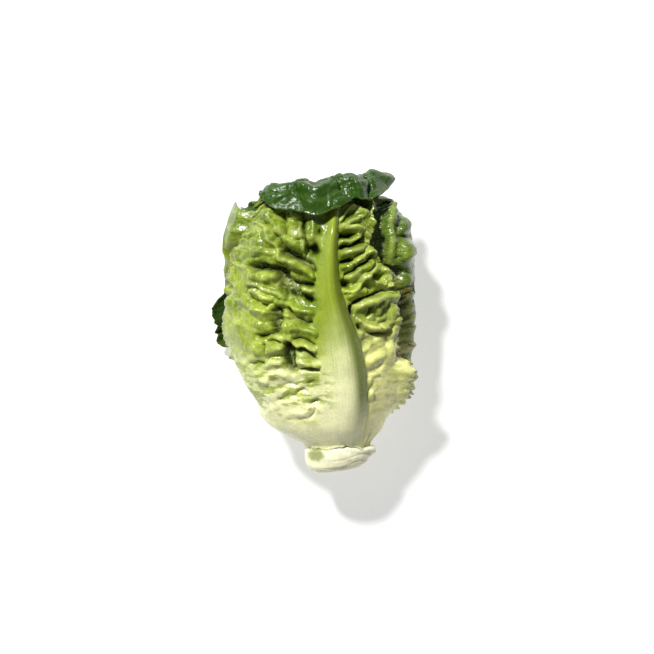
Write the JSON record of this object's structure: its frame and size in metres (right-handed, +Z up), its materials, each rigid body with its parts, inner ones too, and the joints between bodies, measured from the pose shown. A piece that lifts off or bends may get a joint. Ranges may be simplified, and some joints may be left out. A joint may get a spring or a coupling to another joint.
{
  "type": "romaine lettuce head",
  "caption": "Compact romaine lettuce head lying on its back, with crinkled green leaves round a pale stem, broad pale midribs, a folded front leaf tip and a cut butt",
  "frame": {"origin": "middle of the small flat spot under the belly that the head lies on", "axes": "+Z up, +Y along the head from the cut butt to the leaf tips, +X to the right seen from above with the tips away"},
  "size_m": [0.1047, 0.1479, 0.0824],
  "materials": {
    "butt_flesh": "moist cut stem",
    "outer_leaf": "waxy leaf",
    "heart_leaf": "waxy leaf"
  },
  "bodies": {
    "root": {"stem": "butt_flesh", "leaf_01": "outer_leaf", "leaf_02": "outer_leaf", "leaf_03": "outer_leaf", "leaf_04": "outer_leaf", "leaf_05": "outer_leaf", "leaf_06": "outer_leaf", "leaf_07": "outer_leaf", "leaf_08": "outer_leaf", "leaf_09": "outer_leaf", "leaf_10": "heart_leaf", "leaf_11": "heart_leaf", "leaf_12": "heart_leaf", "leaf_13": "heart_leaf", "leaf_14": "heart_leaf", "leaf_15": "heart_leaf", "leaf_16": "heart_leaf"}
  },
  "joints": []
}
